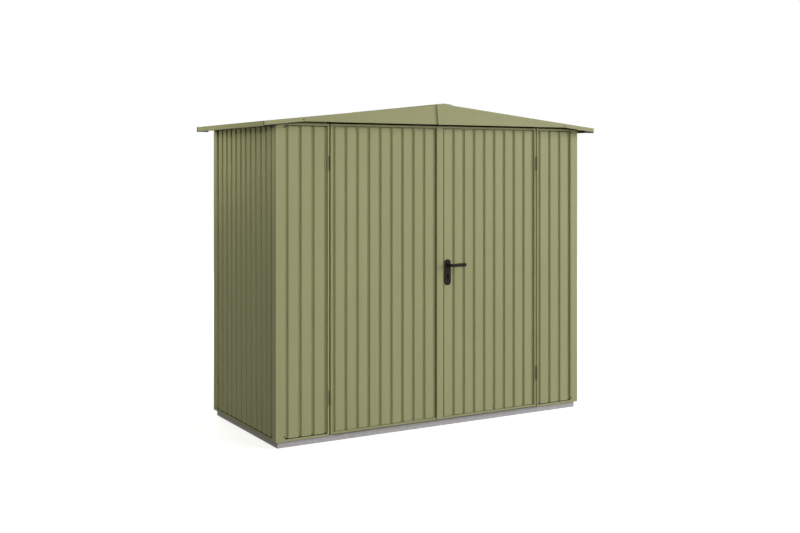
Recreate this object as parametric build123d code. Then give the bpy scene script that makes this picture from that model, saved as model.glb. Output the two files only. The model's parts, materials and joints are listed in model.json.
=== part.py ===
from build123d import *
import math
import os

# Metal storage shed with a low gable roof and a double door in the long front wall.
# The ground is at zero height, the front looks to -Y and all sizes are millimetres.

# Outline of the building
wall_width = 2380.0
wall_depth = 1082.0
frame_height = 1978.0
roof_rise = 127.0
side_overhang = 102.0
front_overhang = 62.0

# Galvanised base frame and ribbed floor
base_height = 40.0
base_inset = 18.0
base_flange = 60.0
base_sheet = 1.5
floor_sheet = 1.0
floor_edge = 67.0
floor_rib_height = 5.0
floor_rib_top = 30.0
floor_rib_flank = 10.0
floor_ribs = 6

# Folded wall frame: corner posts, sills and top rails
frame_sheet = 1.5
post_flange = 64.0
rail_flange = 15.0
rail_depth = 40.0

# Trapezoidal wall cladding
cladding_sheet = 0.8
crest_setback = 4.0
groove_depth = 13.0
groove_mouth = 24.0
groove_flank = 6.0
cladding_tuck = 30.0
front_panel_crest_count = 3
side_wall_crest_count = 11
back_wall_crest_count = 26
door_crest_count = 9

# Doorway: jambs, head and threshold
jamb_offset = 356.5
jamb_face = 11.5
stop_depth = 34.0
stop_width = 28.0
stop_return = 16.0
head_drop = 30.0
seal_thickness = 3.0
seal_above_frame = 19.0
seal_below_frame = 23.0
threshold_upstand = 22.0

# Door leaves
leaf_sheet = 1.2
leaf_depth = 25.0
hinge_gap = 10.0
meeting_gap = 6.0
meeting_offset = -18.5
leaf_bottom_gap = 5.5
hinge_stile_face = 12.0
leaf_rail_face = 13.0
leaf_back_lip = 30.0
lock_strip_width = 48.0
lock_strip_overlap = 12.0
recessed_stile_face = 14.0
leaf_end_gap = 1.0

# Barrel hinges, two for each leaf
hinge_barrel = 11.0
hinge_pin = 6.5
hinge_pin_play = 0.1
hinge_length = 96.0
hinge_lower_share = 0.34
hinge_split = 0.4
hinge_stand_off = 4.5
hinge_tongue = 2.5
hinge_tongue_depth = 24.0
hinge_cap = 5.0
upper_hinge_height = 1770.0
lower_hinge_height = 284.0

# Lever handle set on the right leaf
lever_across = 68.5
lever_height = 1083.0
lever_bar = 19.0
lever_reach = 122.0
lever_stand_off = 42.0
lever_bend = 16.0
lever_neck_run = 6.0
lever_neck_play = 0.1
grip_height = 23.0
grip_thickness = 16.0
grip_tip_length = 9.0
spindle_side = 8.0
spindle_hole = 14.0
handle_plate_width = 49.0
handle_plate_height = 174.0
handle_plate_thickness = 9.0
handle_plate_above_lever = 38.0
handle_plate_edge = 2.0
lock_case_width = 46.0
lock_case_height = 165.0
cladding_lever_hole = 30.0
cylinder_drop = 74.0
cylinder_barrel = 17.0
cylinder_tail_width = 10.0
cylinder_tail_drop = 24.5
cylinder_play = 0.4
cylinder_recess = 3.0

# Ribbed roof sheets
roof_sheet = 0.8
roof_rib_height = 16.0
roof_rib_top = 40.0
roof_rib_flank = 14.0
roof_ribs = 10
roof_edge_gap = 4.0
ridge_gap = 6.0
ridge_beam_half = 40.0
ridge_beam_leg = 40.0
gable_end_cut = 60.0

# Roof trims: eaves, fascias, end caps and ridge cap
trim_sheet = 1.2
eave_trim_height = 31.0
eave_trim_lip = 30.0
end_cap_width = 80.0
end_cap_depth = 16.0
end_cap_drop = 3.0
fascia_strip = 27.0
fascia_above_frame = 8.0
fascia_flange = 36.0
fascia_lip = 10.0
flange_gap = 1.0
ridge_cap_half = 58.0
apex_plate_bottom_half = 48.0

# Levels and planes that several pieces share
half_width = wall_width / 2
half_depth = wall_depth / 2
frame_top = base_height + frame_height
groove_floor = crest_setback + groove_depth
roof_slope = roof_rise / half_width
roof_tilt = math.atan(roof_slope)
roof_lift = (roof_rib_height + roof_sheet) / math.cos(roof_tilt)
trim_lift = trim_sheet / math.cos(roof_tilt)
eave_edge = half_width + side_overhang
fascia_front = half_depth + front_overhang
fascia_back = fascia_front - trim_sheet
roof_half_run = fascia_back - end_cap_depth
fascia_bottom = frame_top + fascia_above_frame
gable_outer = half_depth - stop_depth
gable_inner = gable_outer - frame_sheet
door_edge = jamb_offset + jamb_face
leaf_bottom = base_height + frame_sheet + leaf_bottom_gap
leaf_top = frame_top
hinge_across = half_width - door_edge - hinge_gap / 2

up = (0, 0, 1)
walls = {
    "front": Plane(origin=(-half_width, -half_depth, 0), x_dir=(1, 0, 0), z_dir=up),
    "right": Plane(origin=(half_width, -half_depth, 0), x_dir=(0, 1, 0), z_dir=up),
    "back": Plane(origin=(half_width, half_depth, 0), x_dir=(-1, 0, 0), z_dir=up),
    "left": Plane(origin=(-half_width, half_depth, 0), x_dir=(0, -1, 0), z_dir=up),
}
front = walls["front"]


def offset_points(points, sheet):
    """The line at one sheet thickness to the left of a folded line, mitred at its bends."""
    normals = []
    for (ax, ay), (bx, by) in zip(points, points[1:]):
        length = math.hypot(bx - ax, by - ay)
        normals.append(((ay - by) / length, (bx - ax) / length))
    normals = [normals[0], *normals, normals[-1]]
    shifted = []
    for (x, y), (nx, ny), (mx, my) in zip(points, normals, normals[1:]):
        reach = sheet / (1 + nx * mx + ny * my)
        shifted.append((x + (nx + mx) * reach, y + (ny + my) * reach))
    return shifted


def outline(points):
    return make_face(Polyline(*points, close=True))


def folded(points, sheet):
    return outline([*points, *reversed(offset_points(points, sheet))])


def upright(wall, points, sheet, bottom, top):
    """A folded section, drawn along and into a wall, raised from one height to another."""
    return extrude(wall.offset(bottom) * folded(points, sheet), amount=top - bottom)


def lengthwise(wall, points, sheet, start, end, height):
    """A folded section, drawn by depth and height, run along a wall."""
    corner = wall.from_local_coords(Vector(start, 0, height))
    section = Plane(origin=corner, x_dir=wall.y_dir, z_dir=wall.x_dir)
    return extrude(section * folded(points, sheet), amount=end - start)


def block(wall, along, depth, height):
    """A box between pairs of places along a wall, into it and above the ground."""
    corner = Pos(along[0], depth[0], height[0])
    sizes = (along[1] - along[0], depth[1] - depth[0], height[1] - height[0])
    return wall * corner * Box(*sizes, align=Align.MIN)


def gable_plane(distance):
    """An upright plane in front of the middle of the building, looking to the front."""
    return Plane(origin=(0, -distance, 0), x_dir=(1, 0, 0), z_dir=(0, -1, 0))


def roof_height(across):
    """Underside of the roof sheets at a distance from the ridge."""
    return frame_top + (half_width - across) * roof_slope


def rib_height(across):
    """Top of the roof ribs at a distance from the ridge."""
    return roof_height(across) + roof_lift


def left_and_right(piece):
    return piece, mirror(piece, about=Plane.YZ)


# Base frame: a ring of channels, open inwards
def make_base():
    length = wall_width - base_inset * 2
    width = wall_depth - base_inset * 2
    corner = (Align.CENTER, Align.CENTER, Align.MIN)
    ring = Box(length, width, base_height, align=corner)
    inner_height = base_height - base_sheet * 2
    hollow = Box(length - base_sheet * 2, width - base_sheet * 2, inner_height, align=corner)
    middle = Box(length - base_flange * 2, width - base_flange * 2, base_height, align=corner)
    return ring - Pos(0, 0, base_sheet) * hollow - middle


def make_floor():
    start = floor_edge - half_depth
    end = half_depth - floor_edge
    pitch = (end - start) / floor_ribs
    slack = (pitch - floor_rib_top) / 2
    points = [(start, 0)]
    for index in range(floor_ribs):
        rise = start + index * pitch + slack
        fall = rise + floor_rib_top
        points += [(rise - floor_rib_flank, 0), (rise, floor_rib_height)]
        points += [(fall, floor_rib_height), (fall + floor_rib_flank, 0)]
    points.append((end, 0))
    section = Plane(origin=(floor_edge - half_width, 0, base_height), x_dir=(0, 1, 0), z_dir=(1, 0, 0))
    return extrude(section * folded(points, floor_sheet), amount=wall_width - floor_edge * 2)


# Wall frame
def make_corner_post(wall):
    points = [
        (groove_floor, post_flange),
        (0, post_flange),
        (0, 0),
        (post_flange, 0),
        (post_flange, groove_floor),
    ]
    post = upright(wall, points, frame_sheet, base_height, frame_top)
    square = (0, post_flange)
    foot = block(wall, square, square, (base_height, base_height + frame_sheet))
    head = block(wall, square, square, (frame_top - frame_sheet, frame_top))
    return post + foot + head


def make_left_jamb():
    inner = door_edge + stop_width
    back = stop_depth + stop_return
    points = [
        (jamb_offset, groove_floor),
        (jamb_offset, 0),
        (door_edge, 0),
        (door_edge, stop_depth),
        (inner, stop_depth),
        (inner, back),
    ]
    jamb = upright(front, points, frame_sheet, base_height, frame_top)
    foot = block(front, (door_edge - frame_sheet, inner), (stop_depth, back),
                 (base_height, base_height + frame_sheet))
    return jamb + foot


def make_sill(wall, start, end):
    points = [(0, rail_flange), (0, 0), (rail_depth, 0), (rail_depth, rail_flange)]
    return lengthwise(wall, points, frame_sheet, start, end, base_height)


def make_top_rail(wall, start, end):
    points = [(rail_depth, -rail_flange), (rail_depth, 0), (0, 0), (0, -rail_flange)]
    return lengthwise(wall, points, frame_sheet, start, end, frame_top)


# Doorway
def make_door_head():
    start = door_edge + stop_width
    back = stop_depth + rail_depth
    points = [(back, -head_drop), (back, 0), (stop_depth, 0), (stop_depth, -head_drop)]
    return lengthwise(front, points, frame_sheet, start, wall_width - start, frame_top)


def make_head_seal():
    start = door_edge + stop_width
    return block(front, (start, wall_width - start), (stop_depth - seal_thickness, stop_depth),
                 (frame_top - seal_below_frame, frame_top + seal_above_frame))


def make_threshold():
    points = [(0, 0), (stop_depth, 0), (stop_depth, threshold_upstand)]
    return lengthwise(front, points, frame_sheet, door_edge, wall_width - door_edge, base_height)


# Cladding: grooves between flat crests, from one folded edge to another
def cladding_points(start, end, crests, first, last):
    pitch = (end - start - groove_mouth) / crests
    points = [(first, groove_floor)]
    for index in range(crests):
        rise = start + groove_mouth + index * pitch
        fall = rise + pitch - groove_mouth
        points += [(rise - groove_flank, groove_floor), (rise, crest_setback)]
        points += [(fall, crest_setback), (fall + groove_flank, groove_floor)]
    points.append((last, groove_floor))
    return points


def make_wall_cladding(wall, end, crests, last):
    points = cladding_points(post_flange, end, crests, post_flange - cladding_tuck, last)
    return upright(wall, points, cladding_sheet, base_height + frame_sheet, frame_top - frame_sheet)


# Door leaves
def make_stile(edge, side, face, face_depth, seat_depth):
    """A channel along one edge of a leaf. Its front lip turns in to the cladding where it has a seat."""
    points = [
        (edge + side * leaf_back_lip, leaf_depth),
        (edge, leaf_depth),
        (edge, face_depth),
        (edge + side * face, face_depth),
    ]
    if seat_depth > face_depth:
        points.append((edge + side * face, seat_depth))
    if side < 0:
        points.reverse()
    return upright(front, points, leaf_sheet, leaf_bottom, leaf_top)


def make_leaf_rails(start, end):
    low = [(0, leaf_rail_face), (0, 0), (leaf_depth, 0), (leaf_depth, leaf_back_lip)]
    high = [(depth, -height) for depth, height in reversed(low)]
    bottom_rail = lengthwise(front, low, leaf_sheet, start, end, leaf_bottom)
    top_rail = lengthwise(front, high, leaf_sheet, start, end, leaf_top)
    return bottom_rail + top_rail


def make_leaf_cladding(start, end, first, last):
    points = cladding_points(start, end, door_crest_count, first, last)
    return upright(front, points, cladding_sheet, leaf_bottom + leaf_sheet, leaf_top - leaf_sheet)


def left_leaf_edges():
    return door_edge + hinge_gap, half_width + meeting_offset - meeting_gap / 2


def right_leaf_edges():
    return half_width + meeting_offset + meeting_gap / 2, wall_width - door_edge - hinge_gap


def make_left_leaf():
    start, end = left_leaf_edges()
    hinge_stile = make_stile(start, 1, hinge_stile_face, 0, groove_floor)
    meeting_stile = make_stile(end, -1, recessed_stile_face, groove_floor - leaf_sheet, 0)
    frame = hinge_stile + meeting_stile + make_leaf_rails(start, end)
    hidden_edge = leaf_sheet + leaf_end_gap
    cladding = make_leaf_cladding(start + hinge_stile_face, end, start + hidden_edge, end - hidden_edge)
    return frame, cladding


def make_right_leaf():
    start, end = right_leaf_edges()
    hinge_stile = make_stile(end, -1, hinge_stile_face, 0, groove_floor)
    lock_stile = make_stile(start, 1, lock_strip_width, 0, groove_floor)
    frame = hinge_stile + lock_stile + make_leaf_rails(start, end)
    first_groove = start + lock_strip_width - lock_strip_overlap
    hidden_edge = leaf_sheet + leaf_end_gap
    cladding = make_leaf_cladding(first_groove, end - hinge_stile_face,
                                  first_groove - groove_mouth, end - hidden_edge)
    return frame, cladding - make_lock_cuts()


# Hinges: the frame half carries the pin, the leaf half turns on it
def hinge_barrel_solid(diameter, bottom, top):
    centre = Pos(door_edge + hinge_gap / 2, -hinge_stand_off, bottom)
    standing = (Align.CENTER, Align.CENTER, Align.MIN)
    return front * centre * Cylinder(diameter / 2, top - bottom, align=standing)


def hinge_levels(height):
    """Bottom, joint and top of a hinge around the middle height of its barrel."""
    bottom = height - hinge_length / 2
    return bottom, bottom + hinge_length * hinge_lower_share, bottom + hinge_length


def make_left_frame_hinge(height):
    bottom, joint, top = hinge_levels(height)
    knuckle_top = joint - hinge_split / 2
    pin_top = top - hinge_cap - hinge_split
    tongue = block(front, (door_edge, door_edge + hinge_tongue), (-hinge_stand_off, hinge_tongue_depth),
                   (bottom, knuckle_top))
    knuckle = hinge_barrel_solid(hinge_barrel, bottom, knuckle_top)
    return knuckle + tongue + hinge_barrel_solid(hinge_pin, bottom, pin_top)


def make_left_leaf_hinge(height):
    _, joint, top = hinge_levels(height)
    bottom = joint + hinge_split / 2
    leaf_edge = door_edge + hinge_gap
    tongue = block(front, (leaf_edge - hinge_tongue, leaf_edge), (-hinge_stand_off, hinge_tongue_depth),
                   (bottom, top))
    bore = hinge_barrel_solid(hinge_pin + hinge_pin_play, bottom, top - hinge_cap)
    return hinge_barrel_solid(hinge_barrel, bottom, top) + tongue - bore


# Lever handle set, drawn on the outer face of the wall and looking out of it
def handle_plane(depth):
    return Plane(origin=(lever_across, depth - half_depth, lever_height), x_dir=(1, 0, 0), z_dir=(0, -1, 0))


def cylinder_outline(play):
    barrel = Pos(0, -cylinder_drop) * Circle(cylinder_barrel / 2 + play)
    tail_bottom = -cylinder_drop - cylinder_tail_drop - play
    tail = Pos(0, tail_bottom) * Rectangle(
        cylinder_tail_width + play * 2, cylinder_tail_drop + play, align=(Align.CENTER, Align.MIN))
    return barrel + tail


def make_handle_plate(depth):
    """A long rounded plate, its back at a depth, with holes for the lever neck and the lock cylinder."""
    plane = handle_plane(depth)
    middle = handle_plate_above_lever - handle_plate_height / 2
    body = Pos(0, middle) * SlotOverall(handle_plate_height, handle_plate_width, rotation=90)
    plate = extrude(plane * body, amount=handle_plate_thickness)
    plate = chamfer(plate.faces().sort_by(Axis.Y)[0].edges(), handle_plate_edge)
    holes = Circle((lever_bar + lever_neck_play) / 2) + cylinder_outline(cylinder_play)
    return plate - extrude(plane * holes, amount=handle_plate_thickness)


def make_handle_plates():
    outer = make_handle_plate(crest_setback)
    inner = mirror(make_handle_plate(crest_setback), about=handle_plane((crest_setback + leaf_depth) / 2))
    return outer + inner


def make_outer_lever():
    """A round neck that bends over to run along the door and widens into a flattened, rounded grip."""
    plane = handle_plane(crest_setback)
    height = handle_plate_thickness + lever_stand_off
    foot = Vector(0, 0, handle_plate_thickness / 2)
    grip_start = Vector(lever_bend + lever_neck_run, 0, height)
    path = plane * FilletPolyline(foot, Vector(0, 0, height), grip_start, radius=lever_bend)
    section = handle_plane(crest_setback - handle_plate_thickness / 2) * Circle(lever_bar / 2)
    neck = sweep(section, path=path)
    grip_plane = Plane(origin=plane.from_local_coords(grip_start), x_dir=up, z_dir=(1, 0, 0))
    grip_end = grip_plane.offset(lever_reach - grip_tip_length - grip_start.X)
    half_height = grip_height / 2
    half_thickness = grip_thickness / 2
    grip = loft([grip_plane * Circle(lever_bar / 2), grip_end * Ellipse(half_height, half_thickness)])
    dome = grip_end * scale(Sphere(1), by=(half_height, half_thickness, grip_tip_length))
    return neck + grip + split(dome, bisect_by=grip_end, keep=Keep.TOP)


def make_lever():
    middle = handle_plane((crest_setback + leaf_depth) / 2)
    outer = make_outer_lever()
    reach = (leaf_depth - crest_setback) / 2 + handle_plate_thickness / 2
    spindle = extrude(middle * Rectangle(spindle_side, spindle_side), amount=reach, both=True)
    return outer + mirror(outer, about=middle) + spindle


def make_lock_case():
    """The lock body fills the back of the crest under the handle plates."""
    plane = handle_plane(crest_setback + cladding_sheet)
    middle = handle_plate_above_lever - handle_plate_height / 2
    thickness = leaf_depth - crest_setback - cladding_sheet
    body = Pos(0, middle) * Rectangle(lock_case_width, lock_case_height)
    holes = Circle(spindle_hole / 2) + cylinder_outline(cylinder_play)
    return extrude(plane * (body - holes), amount=-thickness)


def make_lock_cylinder():
    """The profile cylinder runs through both handle plates and ends a little inside their faces."""
    reach = handle_plate_thickness - cylinder_recess
    plane = handle_plane(crest_setback - reach)
    return extrude(plane * cylinder_outline(0), amount=-(leaf_depth - crest_setback + reach * 2))


def make_lock_cuts():
    """Holes in the door cladding for the lever neck and the lock cylinder."""
    holes = Circle(cladding_lever_hole / 2) + cylinder_outline(cylinder_play)
    return extrude(handle_plane(crest_setback) * holes, amount=cladding_sheet, both=True)


# Roof
def make_left_roof():
    pitch = (roof_half_run * 2 - roof_rib_top) / (roof_ribs - 1)
    points = []
    for index in range(roof_ribs):
        rise = index * pitch
        fall = rise + roof_rib_top
        points += [(rise - roof_rib_flank, 0), (rise, roof_rib_height)]
        points += [(fall, roof_rib_height), (fall + roof_rib_flank, 0)]
    points = points[1:-1]
    low_edge = eave_edge - roof_edge_gap
    corner = (-low_edge, -roof_half_run, roof_height(low_edge))
    up_slope = (math.cos(roof_tilt), 0, math.sin(roof_tilt))
    section = Plane(origin=corner, x_dir=(0, 1, 0), z_dir=up_slope)
    slope_length = (low_edge - ridge_gap) / math.cos(roof_tilt)
    return extrude(section * folded(points, roof_sheet), amount=slope_length)


def make_ridge_beam():
    shoulder = roof_height(ridge_beam_half)
    points = [
        (ridge_beam_half, shoulder - ridge_beam_leg),
        (ridge_beam_half, shoulder),
        (0, roof_height(0)),
        (-ridge_beam_half, shoulder),
        (-ridge_beam_half, shoulder - ridge_beam_leg),
    ]
    return extrude(gable_plane(0) * folded(points, frame_sheet), amount=gable_inner, both=True)


def make_front_gable():
    end = half_width - gable_end_cut
    points = [
        (-end, frame_top),
        (end, frame_top),
        (end, roof_height(end)),
        (0, roof_height(0)),
        (-end, roof_height(end)),
    ]
    return extrude(gable_plane(gable_inner) * outline(points), amount=frame_sheet)


# Roof trims
def make_left_eave_trim():
    top = rib_height(eave_edge) + trim_lift - frame_top
    outer = -side_overhang
    inner = eave_trim_lip - side_overhang
    points = [
        (inner, top + eave_trim_lip * roof_slope),
        (outer, top),
        (outer, top - eave_trim_height),
        (inner, top - eave_trim_height),
    ]
    end = half_depth - roof_half_run
    return lengthwise(walls["left"], points, trim_sheet, end, wall_depth - end, frame_top)


def make_front_left_end_cap():
    bottom = rib_height(eave_edge) + trim_lift - eave_trim_height - end_cap_drop
    inner = eave_edge - end_cap_width
    points = [
        (-eave_edge, bottom),
        (-inner, bottom),
        (-inner, rib_height(inner)),
        (-eave_edge, rib_height(eave_edge)),
    ]
    return extrude(gable_plane(roof_half_run) * outline(points), amount=end_cap_depth)


def make_front_left_fascia():
    """A verge strip folded back over the roof edge, and behind it an infill plate down to a level lip."""
    end_top = rib_height(eave_edge) + trim_lift
    middle_top = rib_height(0) + trim_lift
    strip_points = [
        (-eave_edge, end_top - fascia_strip),
        (0, middle_top - fascia_strip),
        (0, middle_top),
        (-eave_edge, end_top),
    ]
    strip = extrude(gable_plane(fascia_back) * outline(strip_points), amount=trim_sheet)
    outer = eave_edge - eave_trim_lip - flange_gap
    flange_points = [
        (-outer, rib_height(outer)),
        (0, rib_height(0)),
        (0, middle_top),
        (-outer, rib_height(outer) + trim_lift),
    ]
    flange = extrude(gable_plane(fascia_back) * outline(flange_points), amount=-fascia_flange)
    knee = eave_edge - (fascia_bottom - end_top + fascia_strip) / roof_slope
    plate_points = [
        (-knee, fascia_bottom),
        (0, fascia_bottom),
        (0, rib_height(0)),
        (-knee, rib_height(knee)),
    ]
    plate = extrude(gable_plane(fascia_back) * outline(plate_points), amount=-trim_sheet)
    lip_top = fascia_bottom + trim_sheet
    lip_points = [(-knee, fascia_bottom), (0, fascia_bottom), (0, lip_top), (-knee, lip_top)]
    lip = extrude(gable_plane(fascia_back) * outline(lip_points), amount=-fascia_lip)
    return strip + flange + plate + lip


def make_ridge_cap():
    """A bent strip over the ridge whose ends turn down over the joint of the fascias."""
    middle = rib_height(0) + trim_lift
    edge = rib_height(ridge_cap_half) + trim_lift
    strip = [(ridge_cap_half, edge), (0, middle), (-ridge_cap_half, edge)]
    cap = extrude(gable_plane(0) * folded(strip, -trim_sheet), amount=fascia_front, both=True)
    plate_points = [
        (ridge_cap_half, edge),
        (apex_plate_bottom_half, fascia_bottom),
        (-apex_plate_bottom_half, fascia_bottom),
        (-ridge_cap_half, edge),
        *reversed(offset_points(strip, -trim_sheet)),
    ]
    plate = extrude(gable_plane(fascia_front) * outline(plate_points), amount=trim_sheet)
    return cap + plate + mirror(plate, about=Plane.XZ)


corner_names = {"front": "front_left", "right": "front_right", "back": "back_right", "left": "back_left"}
rail_start = post_flange
side_rail_end = wall_depth - post_flange
back_rail_end = wall_width - post_flange
panel_last = door_edge - frame_sheet * 2

nodes = {"base_frame": make_base(), "floor_panel": make_floor()}
for wall_name, corner_name in corner_names.items():
    nodes[f"corner_post_{corner_name}"] = make_corner_post(walls[wall_name])
nodes["door_jamb_left"], nodes["door_jamb_right"] = left_and_right(make_left_jamb())
nodes["door_head"] = make_door_head()
nodes["door_head_seal"] = make_head_seal()
nodes["door_threshold"] = make_threshold()

left_sill, right_sill = left_and_right(make_sill(front, rail_start, jamb_offset))
nodes["front_sills"] = left_sill + right_sill
left_rail, right_rail = left_and_right(make_top_rail(front, rail_start, jamb_offset))
nodes["front_top_rails"] = left_rail + right_rail
left_sill, right_sill = left_and_right(make_sill(walls["left"], rail_start, side_rail_end))
nodes["side_sills"] = left_sill + right_sill
left_rail, right_rail = left_and_right(make_top_rail(walls["left"], rail_start, side_rail_end))
nodes["side_top_rails"] = left_rail + right_rail
nodes["back_sill"] = make_sill(walls["back"], rail_start, back_rail_end)
nodes["back_top_rail"] = make_top_rail(walls["back"], rail_start, back_rail_end)

front_panel = make_wall_cladding(front, jamb_offset, front_panel_crest_count, panel_last)
nodes["front_wall_left"], nodes["front_wall_right"] = left_and_right(front_panel)
side_last = side_rail_end + cladding_tuck
side_panel = make_wall_cladding(walls["left"], side_rail_end, side_wall_crest_count, side_last)
nodes["left_wall"], nodes["right_wall"] = left_and_right(side_panel)
back_last = back_rail_end + cladding_tuck
nodes["back_wall"] = make_wall_cladding(walls["back"], back_rail_end, back_wall_crest_count, back_last)

nodes["left_door_frame"], nodes["left_door_sheet"] = make_left_leaf()
nodes["right_door_frame"], nodes["right_door_sheet"] = make_right_leaf()
hinge_heights = (upper_hinge_height, lower_hinge_height)
left_frame_hinges = Part() + [make_left_frame_hinge(height) for height in hinge_heights]
left_leaf_hinges = Part() + [make_left_leaf_hinge(height) for height in hinge_heights]
nodes["frame_hinges"] = left_frame_hinges + mirror(left_frame_hinges, about=Plane.YZ)
nodes["left_door_hinges"], nodes["right_door_hinges"] = left_and_right(left_leaf_hinges)
nodes["handle_plates"] = make_handle_plates()
nodes["lever_handle"] = make_lever()
nodes["lock_case"] = make_lock_case()
nodes["lock_cylinder"] = make_lock_cylinder()

nodes["roof_left"], nodes["roof_right"] = left_and_right(make_left_roof())
nodes["ridge_beam"] = make_ridge_beam()
nodes["front_gable"] = make_front_gable()
nodes["back_gable"] = mirror(nodes["front_gable"], about=Plane.XZ)
nodes["eave_trim_left"], nodes["eave_trim_right"] = left_and_right(make_left_eave_trim())
nodes["front_fascia_left"], nodes["front_fascia_right"] = left_and_right(make_front_left_fascia())
nodes["back_fascia_left"] = mirror(nodes["front_fascia_left"], about=Plane.XZ)
nodes["back_fascia_right"] = mirror(nodes["front_fascia_right"], about=Plane.XZ)
left_cap, right_cap = left_and_right(make_front_left_end_cap())
front_caps = left_cap + right_cap
nodes["eave_end_caps"] = front_caps + mirror(front_caps, about=Plane.XZ)
nodes["ridge_cap"] = make_ridge_cap()

os.makedirs("parts", exist_ok=True)
for node_name, shape in nodes.items():
    export_step(shape, f"parts/{node_name}.step")
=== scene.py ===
import json
import math

import bmesh
import bpy
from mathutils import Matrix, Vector


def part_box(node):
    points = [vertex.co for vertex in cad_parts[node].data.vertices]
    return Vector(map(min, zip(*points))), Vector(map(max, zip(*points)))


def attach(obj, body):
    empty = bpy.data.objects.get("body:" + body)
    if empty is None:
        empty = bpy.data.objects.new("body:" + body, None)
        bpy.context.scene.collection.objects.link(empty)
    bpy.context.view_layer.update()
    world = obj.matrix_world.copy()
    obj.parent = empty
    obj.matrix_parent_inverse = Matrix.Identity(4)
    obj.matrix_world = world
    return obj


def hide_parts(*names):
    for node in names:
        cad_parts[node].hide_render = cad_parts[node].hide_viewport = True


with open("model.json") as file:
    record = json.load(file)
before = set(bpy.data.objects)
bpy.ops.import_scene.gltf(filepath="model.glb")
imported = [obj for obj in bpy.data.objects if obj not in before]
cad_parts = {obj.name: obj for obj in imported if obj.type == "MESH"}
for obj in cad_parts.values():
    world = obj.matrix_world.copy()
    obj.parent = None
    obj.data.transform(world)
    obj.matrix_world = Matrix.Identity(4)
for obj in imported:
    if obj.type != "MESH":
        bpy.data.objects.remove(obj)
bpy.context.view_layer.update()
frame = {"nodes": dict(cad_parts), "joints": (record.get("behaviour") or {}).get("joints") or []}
print("frame loaded with", len(frame["nodes"]), "nodes")

# Places that the pieces share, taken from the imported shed
leftX, frontY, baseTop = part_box("corner_post_front_left")[0]
rightX, backY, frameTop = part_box("corner_post_back_right")[1]
wallWidth = rightX - leftX
wallDepth = backY - frontY
up = Vector((0, 0, 1))
walls = {  # corner, way along the wall seen from outside, way into the shed
    "front": (Vector((leftX, frontY, 0)), Vector((1, 0, 0)), Vector((0, 1, 0))),
    "right": (Vector((rightX, frontY, 0)), Vector((0, 1, 0)), Vector((-1, 0, 0))),
    "back": (Vector((rightX, backY, 0)), Vector((-1, 0, 0)), Vector((0, -1, 0))),
    "left": (Vector((leftX, backY, 0)), Vector((0, -1, 0)), Vector((1, 0, 0))),
}
folds = {"segments": 3, "smoothAngle": math.radians(40), "leastAngle": 0.1, "levelShare": 0.5}  # every bend
mirrors = {"Left": (1, 1, 1), "Right": (-1, 1, 1)}  # pieces are folded for the left and mirrored to the right
leftHinge, rightHinge, leverTurn = frame["joints"]
quarterTurn = math.radians(90)
closeTo = 1e-6  # nearer than this counts as the same place


def onWall(wall, along, depth, height):
    corner, alongWay, inWay = walls[wall]
    return corner + alongWay * along + inWay * depth + up * height


def flipped(points, flip):  # mirrors a folded line, and keeps the sheet on the same side of it
    placed = [Vector(a * b for a, b in zip(point, flip)) for point in points]
    return placed if flip[0] * flip[1] > 0 else placed[::-1]


def deselectAll():
    bpy.ops.object.select_all(action="DESELECT")


def pickVerts(piece, test):
    bpy.ops.mesh.select_mode(type="VERT")
    mesh = bmesh.from_edit_mesh(piece.data)
    for vert in mesh.verts:
        vert.select = test(vert.co)
    mesh.select_flush_mode()
    bmesh.update_edit_mesh(piece.data)


def pickEdges(piece, test):
    bpy.ops.mesh.select_mode(type="EDGE")
    bpy.ops.mesh.select_all(action="DESELECT")
    mesh = bmesh.from_edit_mesh(piece.data)
    for edge in mesh.edges:
        edge.select = test(edge)
    mesh.select_flush_mode()
    bmesh.update_edit_mesh(piece.data)


def pickFaces(piece, test):
    bpy.ops.mesh.select_mode(type="FACE")
    bpy.ops.mesh.select_all(action="DESELECT")
    mesh = bmesh.from_edit_mesh(piece.data)
    for face in mesh.faces:
        face.select = test(face)
    mesh.select_flush_mode()
    bmesh.update_edit_mesh(piece.data)


def isBend(edge):
    return len(edge.link_faces) == 2 and edge.calc_face_angle() > folds["leastAngle"]


def isLevel(face):
    return abs(face.normal.z) > folds["levelShare"]


def extrudeBy(step):
    bpy.ops.mesh.extrude_region_move(TRANSFORM_OT_translate={"value": step})


def thicken(piece, sheet, inside, near):  # gives a bent sheet its thickness, on the inner side of its line
    first = min(piece.data.polygons, key=lambda face: (face.center - near).length)
    thickness = piece.modifiers.new("sheet", "SOLIDIFY")
    thickness.thickness = sheet
    thickness.offset = 1 if first.normal.dot(inside) > 0 else -1
    thickness.use_even_offset = True
    thickness.use_quality_normals = True
    bpy.ops.object.modifier_apply(modifier=thickness.name)
    bpy.ops.object.shade_smooth_by_angle(angle=folds["smoothAngle"])


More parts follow.
